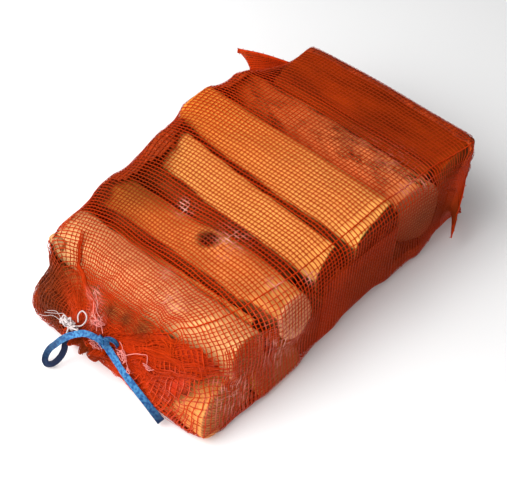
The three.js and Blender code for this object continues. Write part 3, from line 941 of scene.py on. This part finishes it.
# painted shade on the yarn, from the shade patches
def netShading(points):
    return np.clip(blobs(points, netSpec["shadePatches"]), 0, netSpec["shadeMost"])


def layNet(name, kind, lines, sides):  # kind is weft or warp
    width, thickness = netSpec[kind + "Width"], netSpec[kind + "Thickness"]
    extras = (("pale", wearAndGlints), ("yarnShade", netShading))
    return layYarn(name, lines, width, thickness, sides, netMaterial, extras)


def stretches(kept):  # the runs of kept crossings along a line
    steps = np.flatnonzero(np.diff(np.concatenate([[0], kept.astype(int), [0]])))
    return [(a, b) for a, b in zip(steps[::2], steps[1::2]) if b - a > 1]


def weftLines(grid, kept, fat):
    out = netNormals(grid)
    lines = []
    for row in range(len(grid)):
        if kept[row].all():
            lines.append((grid[row], out[row], fat[row], True))
            continue
        for a, b in stretches(kept[row]):
            lines.append((grid[row, a:b], out[row, a:b], fat[row, a:b], False))
    return lines


def warpLines(grid, kept, fat, strands=(-1, 1)):  # a crossed pair of strands for each column
    out = netNormals(grid)
    side = unit(np.roll(grid, -1, 1) - np.roll(grid, 1, 1))
    swap = (netSpec["pairSide"] * (-1.0) ** np.arange(len(grid)))[:, None]
    lines = []
    for column in range(grid.shape[1]):
        offset = out[:, column] * netSpec["pairRise"] + side[:, column] * swap
        for a, b in stretches(kept[:, column]):
            for strand in strands:
                cross = grid[:, column] + strand * offset
                lines.append((cross[a:b], out[a:b, column], fat[a:b, column], False))
    return lines


def columnAt(grid, place):
    return int(np.linalg.norm(grid - np.array(place), axis=-1).min(0).argmin())


def makeNet(grid, spec):
    kept = np.ones(grid.shape[:2], bool)
    thin = np.clip((grid[..., 1] - spec["thinFrom"]) / spec["thinOver"], 0, 1)
    fat = 1 - spec["thinBy"] * (thin * (grid[..., 2] > spec["thinAbove"]))  # drawn fine over the far log
    wefts = weftLines(grid, kept, fat)
    half = len(wefts) // 2
    enrol(layNet("net_weft_1", "weft", wefts[:half], spec["weftSides"]), "net", "net_bag")
    enrol(layNet("net_weft_2", "weft", wefts[half:], spec["weftSides"]), "net")
    for place in spec["selvages"]:
        column = columnAt(grid, place)
        fat[:, column] = spec["selvageFat"]
        kept[:, [column - 1, column + 1]] = False
    warps = warpLines(grid, kept, fat)
    half = len(warps) // 2
    enrol(layNet("net_warp_1", "warp", warps[:half], spec["warpSides"]), "net")
    enrol(layNet("net_warp_2", "warp", warps[half:], spec["warpSides"]), "net")


makeNet(grid, netSpec)


# spare cloth lying double, between two turns and two rows: turns go from the left side over the top to
# the right side at a half, and row 0 is the mouth
spareSpec = dict(sides=4, crushScale=0.07, raggedScale=0.23, layers=[
    dict(turns=(-0.25, 0.75), rows=(0, 11), ragged=4, lift=1.5, crush=2.0),
    dict(turns=(0.40, 0.66), rows=(0, 19), ragged=6, lift=1.6, crush=3.0),
    dict(turns=(0.44, 0.72), rows=(0, 16), ragged=5, lift=2.6, crush=3.0),
    dict(turns=(0.455, 0.505), rows=(10, 27), ragged=3, lift=1.8, crush=3.0),
    dict(turns=(0.555, 0.66), rows=(14, 28), ragged=5, lift=1.4, crush=3.5, fat=0.9),
    dict(turns=(0.56, 0.68), rows=(18, 34), ragged=3, lift=0.9, crush=2.5, fat=0.8),
    dict(turns=(-0.18, 0.04), rows=(6, 29), ragged=5, lift=1.6, crush=2.5),
    dict(turns=(-0.16, 0.05), rows=(6, 29), ragged=5, lift=2.2, crush=3.0),
    dict(turns=(-0.09, 0.065), rows=(28, 72), ragged=0, lift=1.0, crush=0.8),
    dict(turns=(-0.09, 0.035), rows=(72, 92), ragged=0, lift=1.0, crush=0.8),
    dict(turns=(-0.09, 0.09), rows=(92, 127), ragged=0, lift=1.0, crush=0.8),
    dict(turns=(0.46, 0.59), rows=(58, 84), ragged=0, lift=1.0, crush=0.8),
    dict(turns=(0.46, 0.59), rows=(105, 127), ragged=0, lift=1.0, crush=0.8),
    dict(turns=(0.46, 0.60), rows=(29, 43), ragged=0, lift=0.9, crush=2.0, fat=0.8),
])
# loose strands, spread between two turns or drawn together along a band
bunchSpec = dict(bandSpread=0.6, drift=0.22, flutter=0.3, fats=(1.3, 0.7), bunches=[
    dict(turns=(0.42, 0.50), count=70, reach=(10, 19), lift=(0.5, 4.5)),
    dict(count=90, reach=(20, 33), lift=(0.5, 4.0),
         band=dict(rows=(0, 8, 15, 22, 27, 33), turns=(0.46, 0.47, 0.472, 0.48, 0.485, 0.489),
                   spread=(0.04, 0.036, 0.03, 0.022, 0.01, 0.005))),
    dict(turns=(0.50, 0.55), count=70, reach=(12, 21), lift=(0.5, 4.0)),
    dict(turns=(0.39, 0.44), count=45, reach=(9, 16), lift=(0.5, 4.0)),
    dict(turns=(0.55, 0.66), count=80, reach=(12, 25), lift=(0.5, 3.5)),
    dict(turns=(0.66, 0.80), count=40, reach=(7, 13), lift=(0.5, 3.5)),
    dict(turns=(-0.20, 0.10), count=130, reach=(9, 21), lift=(0.5, 3.0)),
    dict(turns=(0.10, 0.39), count=90, reach=(7, 11), lift=(0.5, 3.0)),
    dict(count=60, reach=(20, 31), lift=(0.5, 2.5),
         band=dict(rows=(0, 4, 11, 15, 20, 31), turns=(0.263, 0.237, 0.178, 0.122, 0.095, 0.086),
                   spread=(0.026, 0.026, 0.015, 0.01, 0.004, 0.0017))),
])


def bunchLines(grid, spec):
    around = grid.shape[1]
    out = netNormals(grid)
    lines = []
    for bunch in spec["bunches"]:
        for _ in range(bunch["count"]):
            rows = np.arange(int(rng.uniform(*bunch["reach"])))
            band = bunch.get("band")
            if band:
                turns, spread = (np.interp(rows, band["rows"], band[name]) for name in ("turns", "spread"))
                place = (turns + spread * rng.normal(0, spec["bandSpread"])) * around
            else:
                place = rng.uniform(*bunch["turns"]) * around
                place = place + np.cumsum(rng.normal(0, spec["drift"], len(rows)))
            whole = np.floor(place).astype(int)
            part = (place - whole)[:, None]
            near, far = whole % around, (whole + 1) % around
            lift = rng.uniform(*bunch["lift"]) + rng.normal(0, spec["flutter"], len(rows))
            lift = lift[:, None]
            path = grid[rows, near] * (1 - part) + grid[rows, far] * part + out[rows, near] * lift
            path[:, 2] = np.maximum(path[:, 2], netSpec["floorGap"])
            lines.append((path, out[rows, near], np.linspace(*spec["fats"], len(rows)), False))
    return lines


def makeSpare(grid, spec, bunches):
    rows, around = grid.shape[:2]
    turned = np.roll(grid, around // 4, 1)  # so that no layer crosses the end of a row
    out = netNormals(turned)
    between = (turned + np.roll(turned, -1, 1)) / 2
    between[:-1] = (between[:-1] + between[1:]) / 2
    wefts, warps = [], bunchLines(grid, bunches)
    for number, layer in enumerate(spec["layers"]):
        fat = np.full((rows, around), layer.get("fat", 1.0))
        first, last = layer["rows"]
        kept = np.zeros((rows, around), bool)
        for column in range(*(round(turn * around) for turn in layer["turns"])):
            place = (column + around // 4) % around
            reach = noise.noise((column * spec["raggedScale"], number * 7.3, 0.5)) * layer["ragged"]
            kept[first:max(first, int(last + reach)), place] = True
        cloth = between + out * layer["lift"]
        for row, column in np.argwhere(kept):
            shift = noise.noise_vector(cloth[row, column] * spec["crushScale"] + number * 13.7)
            shift = shift * layer["crush"]
            inward = min(0, shift @ Vector(out[row, column]))
            cloth[row, column] += np.array(shift) - out[row, column] * inward
        cloth[:, :, 2] = np.maximum(cloth[:, :, 2], netSpec["floorGap"])
        wefts += weftLines(cloth, kept, fat)
        warps += warpLines(cloth, kept, fat, (0,))
    enrol(layNet("net_spare_weft", "weft", wefts, spec["sides"]), "net")
    enrol(layNet("net_spare_warp", "warp", warps, spec["sides"]), "net")


makeSpare(grid, spareSpec, bunchSpec)


# where the net lies in so many folds that nothing shows through it: first and last are the turns of a
# patch's two edges at some of its rows
foldSpec = dict(sink=0.8, thickness=0.5, frayScale=0.31, patches=[
    dict(rows=(8, 126), fray=1.6, first=[(8, -0.20), (46, -0.12), (52, -0.02), (92, -0.02), (98, -0.12)],
         last=[(22, 0.02), (26, 0.05), (44, 0.06), (48, 0.09), (52, 0.10), (58, 0.112), (64, 0.108),
               (71, 0.10), (75, 0.05), (82, 0.05), (85, 0.095), (88, 0.105), (126, 0.12)]),
    dict(rows=(58, 84), fray=2.5, first=[(58, 0.465)], last=[(58, 0.62)]),
    dict(rows=(105, 118), fray=1.0, first=[(105, 0.465)], last=[(105, 0.62)]),
    dict(rows=(84, 106), fray=0.0, first=[(84, 0.535), (92, 0.545)], last=[(84, 0.66)]),
    dict(rows=(20, 41), fray=0.0, first=[(20, 0.575)], last=[(20, 0.66)]),
    dict(rows=(111, 115), fray=0.0, first=[(111, 0.12)], last=[(111, 0.44)]),
    dict(rows=(3, 28), fray=2.0, ruddy=0.75, last=[(17, 0.62), (19, 0.56), (22, 0.505), (28, 0.488)],
         first=[(3, 0.42), (12, 0.40), (17, 0.40), (20, 0.44), (22, 0.458), (28, 0.476)]),
])


def makeFolds(grid, spec):
    around = grid.shape[1]
    cells = set()
    ruddy = np.zeros(grid.shape[:2])
    for number, patch in enumerate(spec["patches"]):
        for row in range(*patch["rows"]):
            edges = []
            for side, name in enumerate(("first", "last")):
                stray = noise.noise((row * spec["frayScale"], number * 5.1, side * 9 + 0.5)) * patch["fray"]
                edges.append(round(np.interp(row, *zip(*patch[name])) * around + stray))
            cells.update((row, column % around) for column in range(*edges))
            ruddy[row, edges[0]:edges[1]] = patch.get("ruddy", 0)
    corners = np.array([[row * around + column, row * around + (column + 1) % around,
                         (row + 1) * around + (column + 1) % around, (row + 1) * around + column]
                        for row, column in sorted(cells)])
    used, faces = np.unique(corners, return_inverse=True)
    points = (grid - netNormals(grid) * spec["sink"]).reshape(-1, 3)[used]
    attributes = [("ruddy", "FLOAT", ruddy.ravel()[used])]
    piece = addMesh("net_folds", points, (), faces.reshape(-1, 4).tolist(), attributes, foldedMaterial)
    thicken = piece.modifiers.new("thicken", "SOLIDIFY")
    thicken.thickness = spec["thickness"] * mm
    enrol(piece, "net")


makeFolds(grid, foldSpec)


hemSpec = dict(width=7.0, thickness=1.8, sides=8, perSpan=12, steps=130, facing=(0.1, 0.35, 1.0),
               stitchWidth=1.0, stitchThickness=0.7, stitchSides=5, stitchReach=4.2, stitchStep=3.4,
               stitchHeight=1.2, taper=[(0, 1), (0.86, 1), (0.96, 0.45), (1, 0.3)])


def seamYarn(name, path, lie, fat, width, thickness, sides):
    clean = np.zeros(len(path))
    attributes = [("lie", "FLOAT_VECTOR", lie), ("fat", "FLOAT", fat), ("pale", "FLOAT", clean)]
    piece = addMesh(name, path, chain(len(path)), attributes=attributes)
    enrol(sweep(piece, width, thickness, sides, netMaterial), "net")


def makeHem(seam, spec):  # the folded bottom edge and the overlock stitch along it
    def frameOf(path):
        along = unit(np.gradient(path, axis=0))
        lie = unit(np.cross(along, np.array(spec["facing"])))
        return along, lie, np.interp(np.linspace(0, 1, len(path)), *zip(*spec["taper"]))

    path = resample(smoothPath(seam, spec["perSpan"]), spec["steps"])
    along, lie, taper = frameOf(path)
    seamYarn("net_hem", path, lie, taper, spec["width"], spec["thickness"], spec["sides"])
    count = int(pathLength(path) / spec["stitchStep"])
    path = resample(path, count)
    along, lie, taper = frameOf(path)
    sway = np.where(np.arange(count) % 2 == 0, 1, -1)[:, None]
    height = np.where(np.arange(count) % 4 < 2, 1, -1)[:, None] * spec["stitchHeight"]
    path = path + np.cross(lie, along) * sway * spec["stitchReach"] * taper[:, None] + lie * height
    seamYarn("net_stitch", path, lie, np.ones(count), spec["stitchWidth"], spec["stitchThickness"],
             spec["stitchSides"])


makeHem(netSpec["seam"], hemSpec)
print("net strung")


# white string and pinkish frayed yarn ends caught at the neck: each strand is a thickness, and a list of
# points or a tangle's centre, size and count of points
lintSpec = dict(
    perSpan=6, sides=6, spread=0.5, tangle=(1, 0.5, 0.8), facing=(0.3, 0.2, 1.0),
    strings=[
        dict(thick=1.7, points=[(-24, -233, 66), (-29, -228, 69), (-29, -222, 71), (-21, -223, 71),
                                (-17, -228, 69), (-18, -234, 66), (-24, -238, 64)]),
        dict(thick=1.9, scatter=(-31.5, -239.5, 64, 10.5, 46)),
        dict(thick=1.6, scatter=(-37.5, -241.5, 63, 8.0, 24)),
        dict(thick=0.5, points=[(-40, -242, 61), (-57, -241, 57), (-66, -246, 54), (-75, -247, 50)]),
        dict(thick=0.5, points=[(-40, -242, 62), (-52, -237, 60), (-59, -236, 59), (-68, -240, 56)]),
        dict(thick=0.5, points=[(-38, -241, 63), (-47, -234, 62), (-56, -236, 57), (-70, -243, 54)]),
    ],
    frays=[
        dict(thick=0.7, points=[(-31, -200, 83), (-22, -205, 77), (-15, -213, 74), (-5, -217, 73),
                                (3, -223, 72), (10, -228, 71)]),
        dict(thick=0.6, points=[(-26, -207, 76), (-18, -215, 72), (-12, -218, 71), (-4, -224, 70),
                                (1, -229, 68)]),
        dict(thick=0.6, scatter=(-6, -221, 70, 9.0, 30)),
        dict(thick=0.65, scatter=(4, -237, 56, 9.0, 26)),
        dict(thick=0.8, points=[(2, -236, 54), (7, -234, 54), (13, -235, 51), (14, -238, 45),
                                (9, -241, 44), (5, -240, 48), (7, -236, 53)]),
        dict(thick=0.7, points=[(28, -221, 66), (34, -223, 63), (37, -228, 58), (41, -229, 56),
                                (44, -229, 54), (49, -231, 49), (52, -232, 46)]),
        dict(thick=0.7, scatter=(38, -228, 57, 8.0, 26)),
        dict(thick=0.7, scatter=(50, -232, 47, 5.0, 14)),
        dict(thick=0.8, points=[(42, -227, 60), (51, -221, 65), (58, -217, 66), (62, -214, 65),
                                (66, -218, 61), (68, -222, 56), (72, -222, 56), (77, -218, 58)]),
        dict(thick=0.7, scatter=(69, -221, 58, 6.0, 12)),
    ],
)


def makeLint(spec):
    for name, finish, slotName in (("strings", lintMaterial, "tape"), ("frays", frayMaterial, "net")):
        lines = []
        for strand in spec[name]:
            points = strand.get("points")
            if not points:
                *centre, reach, count = strand["scatter"]
                stray = rng.normal(0, spec["spread"], (count, 3)) * reach * np.array(spec["tangle"])
                points = np.array(centre) + stray
            path = smoothPath(points, spec["perSpan"])
            lie = unit(np.cross(np.gradient(path, axis=0), np.array(spec["facing"])))
            lines.append((path, lie, np.full(len(path), strand["thick"]), False))
        enrol(layYarn(name, lines, 1.0, 1.0, spec["sides"], finish), slotName)


makeLint(lintSpec)


stageSpec = dict(half=4000, drop=0.4, floor=(250, 250, 250), world=0.29, lookAt=(0, 0, 60),
                 key=34.0, keyAt=(-520, -760, 1050), keySize=1.6,
                 fill=9.0, fillAt=(1000, -1200, 700), fillSize=1.2)


def makeStage(spec):
    half, level = spec["half"], -spec["drop"]
    corners = [(-half, -half, level), (half, -half, level), (half, half, level), (-half, half, level)]
    paint = Paint("floor", Base_Color=srgb(*spec["floor"]), Roughness=0.8)
    addMesh("floor", corners, faces=[(0, 1, 2, 3)], material=paint.material)
    world = bpy.data.worlds.new("studio")
    world.use_nodes = True
    world.node_tree.nodes["Background"].inputs["Color"].default_value = (1, 1, 1, 1)
    world.node_tree.nodes["Background"].inputs["Strength"].default_value = spec["world"]
    scene.world = world
    for name in ("key", "fill"):
        data = bpy.data.lights.new(name, "AREA")
        data.energy = spec[name]
        data.size = spec[name + "Size"]
        light = bpy.data.objects.new(name, data)
        light.location = Vector(spec[name + "At"]) * mm
        light.rotation_mode = "QUATERNION"
        aim = Vector(spec["lookAt"]) * mm - light.location
        light.rotation_quaternion = aim.to_track_quat("-Z", "Y")
        scene.collection.objects.link(light)


makeStage(stageSpec)
print("stage lit")
